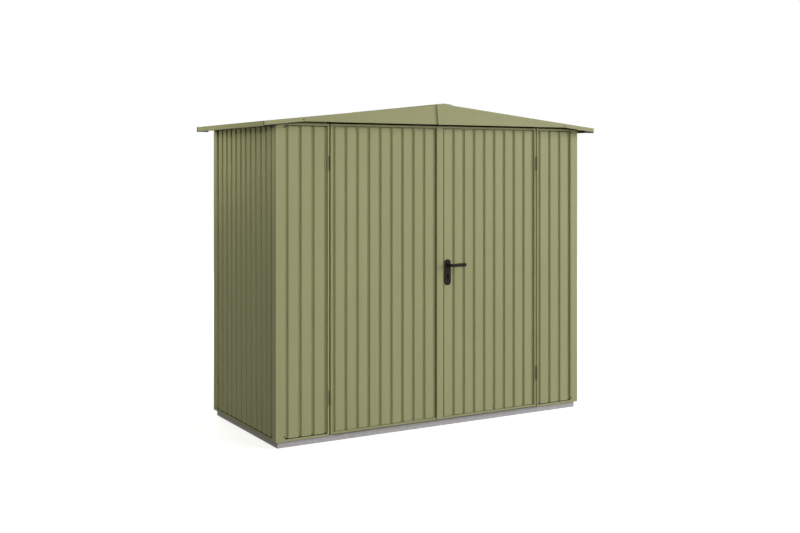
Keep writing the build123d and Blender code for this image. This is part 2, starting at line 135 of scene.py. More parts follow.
def foldStrip(name, line, runs, sheet, bend, cut=None, shape=None):
    # a folded line run out into a sheet, with rounded bends; the sheet lies to the left of the line
    deselectAll()
    bpy.ops.mesh.primitive_plane_add(size=sheet, location=line[0])
    strip = bpy.context.object
    strip.name = name
    bpy.ops.object.transform_apply()
    bpy.ops.object.mode_set(mode="EDIT")
    bpy.ops.mesh.select_mode(type="VERT")
    bpy.ops.mesh.select_all(action="SELECT")
    bpy.ops.mesh.merge(type="CENTER")
    for here, there in zip(line, line[1:]):
        extrudeBy(there - here)
    bpy.ops.mesh.select_all(action="SELECT")
    for run in runs:
        extrudeBy(run)
    if shape:
        shape(strip)
    if cut:
        pickFaces(strip, cut)
        bpy.ops.mesh.delete(type="FACE")
    bpy.ops.mesh.select_all(action="SELECT")
    bpy.ops.mesh.normals_make_consistent(inside=False)
    pickEdges(strip, isBend)
    bpy.ops.mesh.bevel(offset=bend, segments=folds["segments"], affect="EDGES")
    bpy.ops.object.mode_set(mode="OBJECT")
    middle = (line[0] + line[1]) / 2 + sum(runs, Vector()) / 2
    thicken(strip, sheet, runs[0].cross(line[1] - line[0]), middle)
    return strip


def uprightFold(name, wall, points, bottom, top, sheet, bend, flip=mirrors["Left"]):
    line = flipped([onWall(wall, along, depth, bottom) for along, depth in points], flip)
    return foldStrip(name, line, [up * (top - bottom)], sheet, bend)


def levelFold(name, wall, points, start, end, height, sheet, bend, breaks=(), cut=None):
    line = [onWall(wall, start, depth, height + rise) for depth, rise in points]
    stops = [start, *sorted(breaks), end]
    runs = [walls[wall][1] * (there - here) for here, there in zip(stops, stops[1:])]
    return foldStrip(name, line, runs, sheet, bend, cut)


def rib(rise, fall, flank, low, high):  # one crest of a grooved or ribbed sheet
    return [(rise - flank, low), (rise, high), (fall, high), (fall + flank, low)]


def box(name, low, high):
    deselectAll()
    bpy.ops.mesh.primitive_cube_add(size=1, location=(low + high) / 2, scale=high - low)
    piece = bpy.context.object
    piece.name = name
    bpy.ops.object.transform_apply()
    return piece


def block(name, low, high, rounding, segments=2):
    piece = box(name, low, high)
    bpy.ops.object.mode_set(mode="EDIT")
    bpy.ops.mesh.select_all(action="SELECT")
    bpy.ops.mesh.bevel(offset=rounding, segments=segments, affect="EDGES")
    bpy.ops.object.mode_set(mode="OBJECT")
    bpy.ops.object.shade_smooth_by_angle(angle=folds["smoothAngle"])
    return piece


def blockBetween(name, ends, rounding):  # a block over any two opposite corners
    return block(name, Vector(map(min, *ends)), Vector(map(max, *ends)), rounding)


def joinPieces(name, pieces):
    deselectAll()
    for piece in pieces:
        piece.select_set(True)
    bpy.context.view_layer.objects.active = pieces[0]
    bpy.ops.object.join()
    pieces[0].name = name
    return pieces[0]


def cutOut(piece, cutter, operation="DIFFERENCE"):  # takes the cutter off the piece, or adds it
    deselectAll()
    bpy.context.view_layer.objects.active = piece
    piece.select_set(True)
    tool = piece.modifiers.new("cut", "BOOLEAN")
    tool.operation = operation
    tool.solver = "EXACT"
    tool.object = cutter
    bpy.ops.object.modifier_apply(modifier=tool.name)
    bpy.data.objects.remove(cutter)
    bpy.ops.object.shade_smooth_by_angle(angle=folds["smoothAngle"])


def settle(piece, body, slot, material, *nodes):  # evened normals, body and finish of a finished piece; the slot is not used
    deselectAll()
    bpy.context.view_layer.objects.active = piece
    piece.select_set(True)
    even = piece.modifiers.new("even", "WEIGHTED_NORMAL")  # keeps flat faces flat beside their rounded bends
    even.keep_sharp = True
    bpy.ops.object.modifier_apply(modifier=even.name)
    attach(piece, body)
    if nodes:
        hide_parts(*nodes)
    piece.data.materials.clear()
    piece.data.materials.append(material)


# Materials
texture = {"detail": 3, "fineDetail": 2, "grainRoughness": 0.6, "cloudLow": 0.6, "cloudHigh": 1.4,
           "grainDepth": 0.1, "flakeDepth": 0.01}  # depths are shares of the pattern's size
mmInMetre = 1000


def linear(hexColour):  # sRGB hex to linear
    channels = [int(hexColour[place:place + 2], 16) / 255 for place in (1, 3, 5)]
    return [c / 12.92 if c <= 0.04045 else ((c + 0.055) / 1.055) ** 2.4 for c in channels] + [1]


def addNode(tree, kind, inputs=None, **settings):  # one node with its settings, values and links
    node = tree.nodes.new(kind)
    for name, value in settings.items():
        setattr(node, name, value)
    for name, value in (inputs or {}).items():
        if isinstance(value, bpy.types.NodeSocket):
            tree.links.new(value, node.inputs[name])
        else:
            node.inputs[name].default_value = value
    return node


def newMaterial(name):
    material = bpy.data.materials.new(name)
    material.use_nodes = True
    return material, material.node_tree, material.node_tree.nodes["Principled BSDF"]


def finishShader(tree, shader, look, tone, gloss, relief, depthMm):
    # darker to lighter by tone, smoothest to roughest by gloss, and a relief of this depth
    colour = addNode(tree, "ShaderNodeMix", {
        0: tone, 6: linear(look["darker"]), 7: linear(look["lighter"])}, data_type="RGBA")
    rough = addNode(tree, "ShaderNodeMapRange", {
        "Value": gloss, "To Min": look["smoothest"], "To Max": look["roughest"]})
    bump = addNode(tree, "ShaderNodeBump", {
        "Height": relief, "Strength": look["bump"], "Distance": depthMm / mmInMetre})
    shader.inputs["Specular IOR Level"].default_value = look["shine"]
    tree.links.new(colour.outputs[2], shader.inputs["Base Color"])
    tree.links.new(rough.outputs["Result"], shader.inputs["Roughness"])
    tree.links.new(bump.outputs["Normal"], shader.inputs["Normal"])


def paintedSteel(name, look):
    # powder coated steel sheet: an even satin skin with a fine grain, and faint streaks of the rolled coil
    material, tree, shader = newMaterial(name)
    place = addNode(tree, "ShaderNodeTexCoord").outputs["Object"]
    cloud = addNode(tree, "ShaderNodeTexNoise", {
        "Vector": place, "Scale": mmInMetre / look["cloudMm"], "Detail": texture["detail"]})
    stretched = addNode(tree, "ShaderNodeMapping", {"Vector": place, "Scale": (1, 1, look["streakShare"])})
    streak = addNode(tree, "ShaderNodeTexNoise", {
        "Vector": stretched.outputs["Vector"], "Scale": mmInMetre / look["streakMm"],
        "Detail": texture["fineDetail"]})
    both = addNode(tree, "ShaderNodeMath", {
        0: cloud.outputs["Fac"], 1: streak.outputs["Fac"]}, operation="ADD")
    tone = addNode(tree, "ShaderNodeMapRange", {
        "Value": both.outputs["Value"], "From Min": texture["cloudLow"], "From Max": texture["cloudHigh"]})
    grain = addNode(tree, "ShaderNodeTexNoise", {
        "Vector": place, "Scale": mmInMetre / look["grainMm"], "Detail": texture["fineDetail"],
        "Roughness": texture["grainRoughness"]}).outputs["Fac"]
    depth = look["grainMm"] * texture["grainDepth"]
    finishShader(tree, shader, look, tone.outputs["Result"], grain, grain, depth)
    return material


def galvanisedSteel(name, look):
    # hot-dip galvanised sheet: dull zinc grey in crystal flakes that catch the light a little differently
    material, tree, shader = newMaterial(name)
    place = addNode(tree, "ShaderNodeTexCoord").outputs["Object"]
    wobble = addNode(tree, "ShaderNodeTexNoise", {
        "Vector": place, "Scale": mmInMetre / look["flakeMm"], "Detail": texture["detail"]})
    bent = addNode(tree, "ShaderNodeMix", {
        0: look["wobbleShare"], 4: place, 5: wobble.outputs["Color"]}, data_type="VECTOR")
    flake = addNode(tree, "ShaderNodeTexVoronoi", {
        "Vector": bent.outputs[1], "Scale": mmInMetre / look["flakeMm"]})
    tone = addNode(tree, "ShaderNodeSeparateColor", {"Color": flake.outputs["Color"]}).outputs
    shader.inputs["Metallic"].default_value = look["metallic"]
    depth = look["flakeMm"] * texture["flakeDepth"]
    finishShader(tree, shader, look, tone["Red"], tone["Green"], flake.outputs["Distance"], depth)
    return material


def mouldedPlastic(name, look):
    # moulded or lacquered black: a spark-eroded grain that breaks up the shine
    material, tree, shader = newMaterial(name)
    place = addNode(tree, "ShaderNodeTexCoord").outputs["Object"]
    grain = addNode(tree, "ShaderNodeTexNoise", {
        "Vector": place, "Scale": mmInMetre / look["grainMm"], "Detail": texture["detail"]}).outputs["Fac"]
    finishShader(tree, shader, look, grain, grain, grain, look["grainMm"] * texture["grainDepth"])
    return material


# grains of 0.1 to 0.4 mm are drawn coarser, at the sizes given here, so that they show
greenPaint = paintedSteel("olivePowderCoat", {  # satin olive, the coat of the whole shed
    "darker": "#98996F", "lighter": "#9E9F74", "cloudMm": 420, "streakMm": 35, "streakShare": 0.04,
    "grainMm": 1.6, "bump": 0.25, "smoothest": 0.48, "roughest": 0.62, "shine": 0.15})
hingePaintedShade = paintedSteel("hingeCoatPaintedShade", {  # the olive coat darkened: painted shade on the hinge barrels
    "darker": "#5B5C3F", "lighter": "#646546", "cloudMm": 60, "streakMm": 20, "streakShare": 0.2,
    "grainMm": 1.2, "bump": 0.2, "smoothest": 0.4, "roughest": 0.55, "shine": 0.2})
zinc = galvanisedSteel("galvanisedSheet", {  # dull light grey with broad flakes
    "darker": "#A3A29F", "lighter": "#B2B1AE", "flakeMm": 11, "wobbleShare": 0.012, "metallic": 0.08,
    "bump": 0.15, "smoothest": 0.55, "roughest": 0.7, "shine": 0.2})
lockZinc = galvanisedSteel("zincPlatedSteel", {  # brighter, with small flakes
    "darker": "#A9ABAD", "lighter": "#BFC1C3", "flakeMm": 3, "wobbleShare": 0.01, "metallic": 0.8,
    "bump": 0.05, "smoothest": 0.3, "roughest": 0.42, "shine": 0.5})
blackCap = mouldedPlastic("blackPolypropylene", {  # dull black with a faint grain
    "darker": "#141413", "lighter": "#1D1C1B", "grainMm": 0.8,
    "bump": 0.2, "smoothest": 0.5, "roughest": 0.65, "shine": 0.15})
blackRubberPaintedShade = mouldedPlastic("blackRubberPaintedShade", {  # deep matt black rubber without a highlight; where it shows in the slots over the doors and along the sheet ends, its black is painted shade
    "darker": "#0B0B0A", "lighter": "#121211", "grainMm": 1.5,
    "bump": 0.3, "smoothest": 0.75, "roughest": 0.9, "shine": 0.2})
handleBlack = mouldedPlastic("satinBlackPolyamide", {  # warm black with a soft sheen
    "darker": "#1C1A14", "lighter": "#24221A", "grainMm": 0.9,
    "bump": 0.15, "smoothest": 0.36, "roughest": 0.48, "shine": 0.09})
blackScrew = mouldedPlastic("blackenedScrewSteel", {  # dark dots with a small highlight
    "darker": "#15150F", "lighter": "#1D1D15", "grainMm": 0.5,
    "bump": 0.1, "smoothest": 0.4, "roughest": 0.55, "shine": 0.3})
lockPaintedShade = mouldedPlastic("lockCylinderPaintedShade", {  # nearly black: painted shade, so that the lock reads as a dark hole in its plate
    "darker": "#070605", "lighter": "#0A0908", "grainMm": 0.6,
    "bump": 0.05, "smoothest": 0.4, "roughest": 0.55, "shine": 0.03})
greenFrame = ("shed_frame", "green_steel", greenPaint)  # body, slot and finish of most fixed pieces
zincFrame = ("shed_frame", "galvanised_steel", zinc)
rubberPaintedShadeFrame = ("shed_frame", "seal_rubber", blackRubberPaintedShade)
print("materials made")

# Wall sheets: flat crests with narrow grooves between them
cladding = {"sheet": 0.0008, "setback": 0.004, "grooveDepth": 0.013, "grooveMouth": 0.024,
            "grooveFlank": 0.006, "tuck": 0.030, "bend": 0.0020, "panelCrests": 3, "sideCrests": 11,
            "backCrests": 26}
post = {"flange": 0.064, "lip": 0.017, "sheet": 0.0015, "bend": 0.0025, "plateEdge": 0.0003}
jamb = {"offset": 0.3565, "face": 0.0115, "stopDepth": 0.034, "stopWidth": 0.028, "stopReturn": 0.016,
        "bend": 0.0022}
grooveFloor = cladding["setback"] + cladding["grooveDepth"]
doorEdge = jamb["offset"] + jamb["face"]


def claddingLine(start, end, crests, first, last):
    pitch = (end - start - cladding["grooveMouth"]) / crests
    points = [(first, grooveFloor)]
    for index in range(crests):
        rise = start + cladding["grooveMouth"] + index * pitch
        fall = rise + pitch - cladding["grooveMouth"]
        points += rib(rise, fall, cladding["grooveFlank"], grooveFloor, cladding["setback"])
    return points + [(last, grooveFloor)]


def wallSheet(name, wall, points, bottom, top, flip=mirrors["Left"]):
    return uprightFold(name, wall, points, bottom, top, cladding["sheet"], cladding["bend"], flip)


sheetStart = post["flange"] - cladding["tuck"]
panelEnd = doorEdge - post["sheet"] * 2
panelLine = claddingLine(post["flange"], jamb["offset"], cladding["panelCrests"], sheetStart, panelEnd)
sideLine = claddingLine(post["flange"], wallDepth - post["flange"], cladding["sideCrests"],
                        sheetStart, wallDepth - sheetStart)
backLine = claddingLine(post["flange"], wallWidth - post["flange"], cladding["backCrests"],
                        sheetStart, wallWidth - sheetStart)
wallSheets = [
    ("wallSheetFrontLeft", "front_wall_left", "front", panelLine, mirrors["Left"]),
    ("wallSheetFrontRight", "front_wall_right", "front", panelLine, mirrors["Right"]),
    ("wallSheetLeft", "left_wall", "left", sideLine, mirrors["Left"]),
    ("wallSheetRight", "right_wall", "right", sideLine, mirrors["Left"]),
    ("wallSheetBack", "back_wall", "back", backLine, mirrors["Left"]),
]
rail = {"flange": 0.015, "depth": 0.040, "bend": 0.0020}
foam = {"rise": 0.004, "front": 0.0022, "rounding": 0.0008}
# the sheets stop this short of the rails, so that a strip of black foam shows in the slot as painted shade
sheetLow = baseTop + rail["flange"] + foam["rise"]
sheetHigh = frameTop - rail["flange"] - foam["rise"]
for name, node, wall, points, flip in wallSheets:
    sheet = wallSheet(name, wall, points, sheetLow, sheetHigh, flip)
    settle(sheet, *greenFrame, node)
print("wall sheets folded")

# Corner posts with a plate at each end
postLine = [(post["lip"], post["flange"]), (0, post["flange"]), (0, 0), (post["flange"], 0),
            (post["flange"], post["lip"])]
cornerPosts = {"front": "front_left", "right": "front_right", "back": "back_right", "left": "back_left"}
for wall, corner in cornerPosts.items():
    strip = uprightFold("cornerPost", wall, postLine, baseTop, frameTop, post["sheet"], post["bend"])
    plates = []
    for height in (baseTop, frameTop - post["sheet"]):
        ends = [onWall(wall, post["sheet"], post["sheet"], height),
                onWall(wall, post["flange"], post["flange"], height + post["sheet"])]
        plates.append(blockBetween("postEnd", ends, post["plateEdge"]))
    name = "cornerPost" + corner.title().replace("_", "")
    settle(joinPieces(name, [strip, *plates]), *greenFrame, "corner_post_" + corner)

# Sills and top rails, shallow channels that hold the wall sheets
sillLine = [(0, rail["flange"]), (0, 0), (rail["depth"], 0), (rail["depth"], rail["flange"])]
railLine = [(depth, -rise) for depth, rise in reversed(sillLine)]
railPlaces = {
    "front": [("front", post["flange"], jamb["offset"]),
              ("front", wallWidth - jamb["offset"], wallWidth - post["flange"])],
    "side": [(wall, post["flange"], wallDepth - post["flange"]) for wall in ("left", "right")],
    "back": [("back", post["flange"], wallWidth - post["flange"])],
}
for side, places in railPlaces.items():
    for kind, points, height in (("sill", sillLine, baseTop), ("top_rail", railLine, frameTop)):
        strips = [levelFold("rail", wall, points, start, end, height, post["sheet"], rail["bend"])
                  for wall, start, end in places]
        node = f"{side}_{kind}" + ("s" if len(places) > 1 else "")
        name = side + kind.title().replace("_", "")
        settle(joinPieces(name, strips), *greenFrame, node)
for wall, start, end in sum(railPlaces.values(), []):  # foam strips under and over the wall sheets; the sheets stop short of the rails, so the black foam shows as a dark line there: painted shade along the sheet ends
    for low, high in ((baseTop + post["sheet"], sheetLow), (sheetHigh, frameTop - post["sheet"])):
        ends = [onWall(wall, start, foam["front"], low), onWall(wall, end, grooveFloor, high)]
        strip = blockBetween("foamStrip" + wall.title(), ends, foam["rounding"])
        settle(strip, *rubberPaintedShadeFrame)
print("posts and rails folded")

# Doorway: jambs, head with its rubber seal, threshold
jambInner = doorEdge + jamb["stopWidth"]
jambBack = jamb["stopDepth"] + jamb["stopReturn"]
jambLine = [
    (jamb["offset"], post["lip"]), (jamb["offset"], 0), (doorEdge, 0), (doorEdge, jamb["stopDepth"]),
    (jambInner, jamb["stopDepth"]), (jambInner, jambBack)]
for side, flip in mirrors.items():
    strip = uprightFold("doorJamb" + side, "front", jambLine, baseTop, frameTop, post["sheet"], jamb["bend"],
                        flip)
    settle(strip, *greenFrame, "door_jamb_" + side.lower())

head = {"drop": 0.030, "depth": 0.040, "bend": 0.0022}
seal = {"endGap": 0.0005, "rounding": 0.0012}
headBack = jamb["stopDepth"] + head["depth"]
headLine = [
    (headBack, -head["drop"]), (headBack, 0), (jamb["stopDepth"], 0), (jamb["stopDepth"], -head["drop"])]
strip = levelFold("doorHead", "front", headLine, jambInner, wallWidth - jambInner, frameTop,
                  post["sheet"], head["bend"])
settle(strip, *greenFrame, "door_head")

# the black rubber seal fills the slot over the leaves with black: a real seal, and painted shade of the
# cavity above the doors
sealLow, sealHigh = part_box("door_head_seal")
sealLow.x = leftX + doorEdge + seal["endGap"]  # its ends lap over the stops of the jambs
sealHigh.x = rightX - doorEdge - seal["endGap"]
strip = block("headSeal", sealLow, sealHigh, seal["rounding"])
settle(strip, *rubberPaintedShadeFrame, "door_head_seal")

threshold = {"upstand": 0.022, "bend": 0.0022}
thresholdLine = [(0, 0), (jamb["stopDepth"], 0), (jamb["stopDepth"], threshold["upstand"])]
strip = levelFold("doorThreshold", "front", thresholdLine, doorEdge, wallWidth - doorEdge, baseTop,
                  post["sheet"], threshold["bend"])
settle(strip, *zincFrame, "door_threshold")
print("doorway made")

# Door leaves: folded stiles and rails round a grooved sheet
leaf = {"sheet": 0.0012, "depth": 0.025, "stileFace": 0.012, "railFace": 0.013, "backLip": 0.030,
        "bend": 0.0020, "lockStrip": 0.048, "lockOverlap": 0.012, "recessedFace": 0.014, "edgeGap": 0.0022,
        "crests": 9, "slot": 0.005}


def leafStile(edge, way, face, faceDepth, seatDepth, bottom, top):
    points = [(edge + way * leaf["backLip"], leaf["depth"]), (edge, leaf["depth"]), (edge, faceDepth),
              (edge + way * face, faceDepth)]
    if seatDepth > faceDepth:
        points.append((edge + way * face, seatDepth))
    if way < 0:
        points.reverse()
    return uprightFold("stile", "front", points, bottom + leaf["sheet"], top - leaf["sheet"], leaf["sheet"],
                       leaf["bend"])


def leafRails(start, end, startFace, endFace, bottom, top):
    # the webs close the leaf from edge to edge, and the lips stop at the stiles
    lowLine = [(0, leaf["railFace"]), (0, 0), (leaf["depth"], 0), (leaf["depth"], leaf["backLip"])]
    highLine = [(depth, -rise) for depth, rise in reversed(lowLine)]
    faceStops = (start + startFace, end - endFace)
    lipStops = (start + leaf["backLip"], end - leaf["backLip"])
    breaks = {stop for stop in faceStops + lipStops if start < stop < end}

    def isCut(face):
        center = face.calc_center_median()
        along = center.x - leftX
        depth = center.y - frontY
        if isLevel(face):
            return False
        stops = faceStops if depth < leaf["depth"] / 2 else lipStops
        return not stops[0] < along < stops[1]

    rails = []
    for points, height in ((lowLine, bottom), (highLine, top)):
        rails.append(levelFold("leafRail", "front", points, start, end, height, leaf["sheet"], leaf["bend"],
                               breaks, isCut))
    return rails


leafLow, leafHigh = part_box("left_door_frame")
start, end = leafLow.x - leftX, leafHigh.x - leftX
stiles = [
    leafStile(start, 1, leaf["stileFace"], 0, grooveFloor, leafLow.z, leafHigh.z),
    leafStile(end, -1, leaf["recessedFace"], grooveFloor - leaf["sheet"], 0, leafLow.z, leafHigh.z)]
rails = leafRails(start, end, leaf["stileFace"], 0, leafLow.z, leafHigh.z)
leafFrame = joinPieces("leftLeafFrame", stiles + rails)
settle(leafFrame, "left_door", "green_steel", greenPaint, "left_door_frame")
points = claddingLine(start + leaf["stileFace"], end, leaf["crests"], start + leaf["edgeGap"],
                      end - leaf["edgeGap"])
leafSheetLow = leafLow.z + leaf["railFace"] + leaf["slot"]
leafSheetHigh = leafHigh.z - leaf["railFace"] - leaf["slot"]
sheet = wallSheet("leftLeafSheet", "front", points, leafSheetLow, leafSheetHigh)
settle(sheet, "left_door", "green_steel", greenPaint, "left_door_sheet")

leafLow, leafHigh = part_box("right_door_frame")
start, end = leafLow.x - leftX, leafHigh.x - leftX
stiles = [
    leafStile(start, 1, leaf["lockStrip"], 0, grooveFloor, leafLow.z, leafHigh.z),
    leafStile(end, -1, leaf["stileFace"], 0, grooveFloor, leafLow.z, leafHigh.z)]
rails = leafRails(start, end, leaf["lockStrip"], leaf["stileFace"], leafLow.z, leafHigh.z)
leafFrame = joinPieces("rightLeafFrame", stiles + rails)
settle(leafFrame, "right_door", "green_steel", greenPaint, "right_door_frame")
firstGroove = start + leaf["lockStrip"] - leaf["lockOverlap"]
points = claddingLine(firstGroove, end - leaf["stileFace"], leaf["crests"],
                      firstGroove - cladding["grooveMouth"], end - leaf["edgeGap"])
rightSheet = wallSheet("rightLeafSheet", "front", points, leafSheetLow, leafSheetHigh)
print("door leaves folded")

# Barrel hinges: a short knuckle with the pin on the frame, a long one on the leaf
hinge = {"rim": 0.0012, "sides": 32, "tongue": 0.0025, "tongueEdge": 0.0004, "halfGap": 0.005,
         "split": 0.0004, "lowerShare": 0.34, "length": 0.096, "heights": (1.770, 0.284)}
hingeLow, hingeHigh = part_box("left_door_hinges")
hingeBarrel = hingeHigh.x - hingeLow.x


def isRim(edge):
    return len(edge.link_faces) == 2 and abs(edge.verts[0].co.z - edge.verts[1].co.z) < closeTo


def hingeKnuckle(across, bottom, top, tongueSide):
    deselectAll()
    hingeY = leftHinge["pos_m"][1]
    bpy.ops.mesh.primitive_cylinder_add(vertices=hinge["sides"], radius=hingeBarrel / 2, depth=top - bottom,
                                        location=(across, hingeY, (bottom + top) / 2))
    knuckle = bpy.context.object
    knuckle.name = "knuckle"
    bpy.ops.object.transform_apply()
    bpy.ops.object.mode_set(mode="EDIT")
    pickEdges(knuckle, isRim)
    bpy.ops.mesh.bevel(offset=hinge["rim"], segments=folds["segments"], affect="EDGES")
    bpy.ops.object.mode_set(mode="OBJECT")
    inner, outer = sorted((tongueSide, tongueSide - math.copysign(hinge["tongue"], tongueSide - across)))
    tongue = block("tongue", Vector((inner, hingeY, bottom)), Vector((outer, hingeHigh.y, top)),
                   hinge["tongueEdge"])
    cutOut(knuckle, tongue, "UNION")
    return knuckle


jambKnuckles, leafKnuckles = [], {"left": [], "right": []}
for side, joint in (("left", leftHinge), ("right", rightHinge)):
    across = joint["pos_m"][0]
    way = math.copysign(1, across)
    jambSide = across + way * hinge["halfGap"]
    leafSide = across - way * hinge["halfGap"]
    for height in hinge["heights"]:
        bottom = height - hinge["length"] / 2
        seam = bottom + hinge["length"] * hinge["lowerShare"]
        top = bottom + hinge["length"]
        jambKnuckles.append(hingeKnuckle(across, bottom, seam - hinge["split"] / 2, jambSide))
        leafKnuckles[side].append(hingeKnuckle(across, seam + hinge["split"] / 2, top, leafSide))
# the hinges wear the darkened coat, which paints shade on the barrels
settle(joinPieces("jambHinges", jambKnuckles), "shed_frame", "green_steel", hingePaintedShade, "frame_hinges")
for side, knuckles in leafKnuckles.items():
    piece = joinPieces(side + "LeafHinges", knuckles)
    settle(piece, side + "_door", "green_steel", hingePaintedShade, side + "_door_hinges")
print("hinges made")

# Lever handle on long plates, both sides of the right leaf
lever = {"bar": 0.019, "reach": 0.122, "bend": 0.016, "neckRun": 0.006, "gripHeight": 0.023,
         "gripThickness": 0.016, "tip": 0.009, "tipTurn": math.radians(84), "sides": 28, "bendSteps": 8,
         "tipSteps": 5, "swell": 0.020, "standOff": 0.042, "spindle": 0.008, "spindleEdge": 0.0006,
         "play": 0.0001, "holeInSheet": 0.030}
plate = {"width": 0.049, "thickness": 0.009, "edge": 0.002, "edgeSteps": 4, "cornerShare": 0.98,
         "cornerSteps": 12, "cutTimes": 3}
cylinder = {"drop": 0.074, "barrel": 0.017, "tail": 0.010, "tailDrop": 0.0245, "tailShare": 0.8,
            "tailSteps": 5, "play": 0.0004, "sheetPlay": 0.0008, "recess": 0.003, "sides": 32,
            "keyway": 0.0022, "keyEdge": 0.00055, "keyHeight": 0.0085, "keyDepth": 0.004}
leverX, _, leverZ = leverTurn["pos_m"]
plateLow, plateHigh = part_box("handle_plates")


def rod(name, radius, sides, place, length):  # a round bar along Y that starts at its place
    deselectAll()
    middle = Vector(place) + Vector((0, length / 2, 0))
    bpy.ops.mesh.primitive_cylinder_add(vertices=sides, radius=radius, depth=abs(length), location=middle,
                                        rotation=(quarterTurn, 0, 0))
    bar = bpy.context.object
    bar.name = name
    bpy.ops.object.transform_apply()
    return bar


def lockShape(name, grow, front, depth):  # outline of a profile cylinder: a barrel over a narrow tail
    center = Vector((leverX, front, leverZ - cylinder["drop"]))
    barrel = rod(name, cylinder["barrel"] / 2 + grow, cylinder["sides"], center, depth)
    half = cylinder["tail"] / 2 + grow
    low = center + Vector((-half, 0, -cylinder["tailDrop"] - grow))
    tail = block("lockTail", low, center + Vector((half, depth, 0)), half * cylinder["tailShare"],
                 cylinder["tailSteps"])
    cutOut(barrel, tail, "UNION")
    return barrel


def handlePlate(name, outer):
    front = plateLow.y if outer else plateHigh.y - plate["thickness"]
    low = Vector((leverX - plate["width"] / 2, front, plateLow.z))
    high = Vector((leverX + plate["width"] / 2, front + plate["thickness"], plateHigh.z))
    piece = box(name, low, high)
    bpy.ops.object.mode_set(mode="EDIT")
    pickEdges(piece, lambda edge: abs(edge.verts[0].co.y - edge.verts[1].co.y) > closeTo)
    bpy.ops.mesh.bevel(offset=plate["width"] / 2 * plate["cornerShare"], segments=plate["cornerSteps"],
                       affect="EDGES")
    rim = low.y if outer else high.y
    pickEdges(piece, lambda edge: all(abs(vert.co.y - rim) < closeTo for vert in edge.verts))
    bpy.ops.mesh.bevel(offset=plate["edge"], segments=plate["edgeSteps"], affect="EDGES")
    bpy.ops.object.mode_set(mode="OBJECT")
    start = front - plate["thickness"]
    depth = plate["thickness"] * plate["cutTimes"]  # the cutters stand out on both sides
    neckPlace = (leverX, start, leverZ)
    cutOut(piece, rod("neckHole", lever["bar"] / 2 + lever["play"], lever["sides"], neckPlace, depth))
    cutOut(piece, lockShape("lockHole", cylinder["play"], start, depth))
    return piece


plates = [handlePlate("plateOuter", True), handlePlate("plateInner", False)]
settle(joinPieces("handlePlates", plates), "right_door", "handle_black", handleBlack, "handle_plates")


def leverArm(name, outer):  # a round neck that turns through a bend into a flattened, slightly swelling grip
    way = -1 if outer else 1
    seat = plateLow.y + plate["thickness"] if outer else plateHigh.y - plate["thickness"]
    barY = (plateLow.y if outer else plateHigh.y) + way * lever["standOff"]
    deselectAll()
    bpy.ops.mesh.primitive_circle_add(vertices=lever["sides"], radius=lever["bar"] / 2, fill_type="NGON",
                                      location=(leverX, seat, leverZ), rotation=(quarterTurn, 0, 0))
    arm = bpy.context.object
    arm.name = name
    bpy.ops.object.transform_apply()
    bpy.ops.object.mode_set(mode="EDIT")
    bpy.ops.mesh.select_all(action="SELECT")
    bendY = barY - way * lever["bend"]
    extrudeBy(Vector((0, bendY - seat, 0)))
    bpy.ops.mesh.spin(steps=lever["bendSteps"], angle=quarterTurn * way, axis=(0, 0, 1),
                      center=(leverX + lever["bend"], bendY, leverZ))
    extrudeBy(Vector((lever["neckRun"], 0, 0)))
    gripStart = leverX + lever["bend"] + lever["neckRun"] + lever["swell"]
    extrudeBy(Vector((lever["swell"], 0, 0)))
    flatten = (1, lever["gripThickness"] / lever["bar"], lever["gripHeight"] / lever["bar"])
    bpy.ops.transform.resize(value=flatten, center_override=(gripStart, barY, leverZ))
    extrudeBy(Vector((leverX + lever["reach"] - lever["tip"] - gripStart, 0, 0)))
    size, reached = 1, 0
    for step in range(1, lever["tipSteps"] + 1):  # rounded tip
        angle = lever["tipTurn"] * step / lever["tipSteps"]
        extrudeBy(Vector((lever["tip"] * (math.sin(angle) - reached), 0, 0)))
        bpy.ops.transform.resize(value=(1, math.cos(angle) / size, math.cos(angle) / size),
                                 center_override=(leverX, barY, leverZ))
        size, reached = math.cos(angle), math.sin(angle)
    bpy.ops.mesh.select_all(action="SELECT")
    bpy.ops.mesh.remove_doubles(threshold=closeTo)
    bpy.ops.mesh.normals_make_consistent(inside=False)
    bpy.ops.object.mode_set(mode="OBJECT")
    bpy.ops.object.shade_smooth_by_angle(angle=folds["smoothAngle"])
    return arm


half = Vector((lever["spindle"] / 2, 0, lever["spindle"] / 2))
spindleStart = Vector((leverX, plateLow.y + plate["thickness"], leverZ))
spindleEnd = Vector((leverX, plateHigh.y - plate["thickness"], leverZ))
spindle = block("spindle", spindleStart - half, spindleEnd + half, lever["spindleEdge"])
arms = [leverArm("leverOuter", True), leverArm("leverInner", False), spindle]
settle(joinPieces("leverHandle", arms), "lever", "handle_black", handleBlack, "lever_handle")

lockFront = plateLow.y + cylinder["recess"]
lockDepth = plateHigh.y - cylinder["recess"] - lockFront
lock = lockShape("lockBarrel", 0, lockFront, lockDepth)
keyCenter = Vector((leverX, 0, leverZ - cylinder["drop"]))
for face in (lockFront, lockFront + lockDepth):  # a keyway in each end
    reach = Vector((cylinder["keyway"] / 2, 0, cylinder["keyHeight"] / 2))
    low = keyCenter - reach + Vector((0, face - cylinder["keyDepth"], 0))
    high = keyCenter + reach + Vector((0, face + cylinder["keyDepth"], 0))
    cutOut(lock, block("keyway", low, high, cylinder["keyEdge"]))
# the recessed cylinder is nearly black, painted shade of a dark keyhole
settle(lock, "right_door", "cylinder_black", lockPaintedShade, "lock_cylinder")

neckPlace = (leverX, frontY, leverZ)
neckOpening = rod("neckOpening", lever["holeInSheet"] / 2, lever["sides"], neckPlace, leaf["depth"])
cutOut(rightSheet, neckOpening)
cutOut(rightSheet, lockShape("lockOpening", cylinder["sheetPlay"], frontY, leaf["depth"]))
settle(rightSheet, "right_door", "green_steel", greenPaint, "right_door_sheet")
print("handle and lock made")

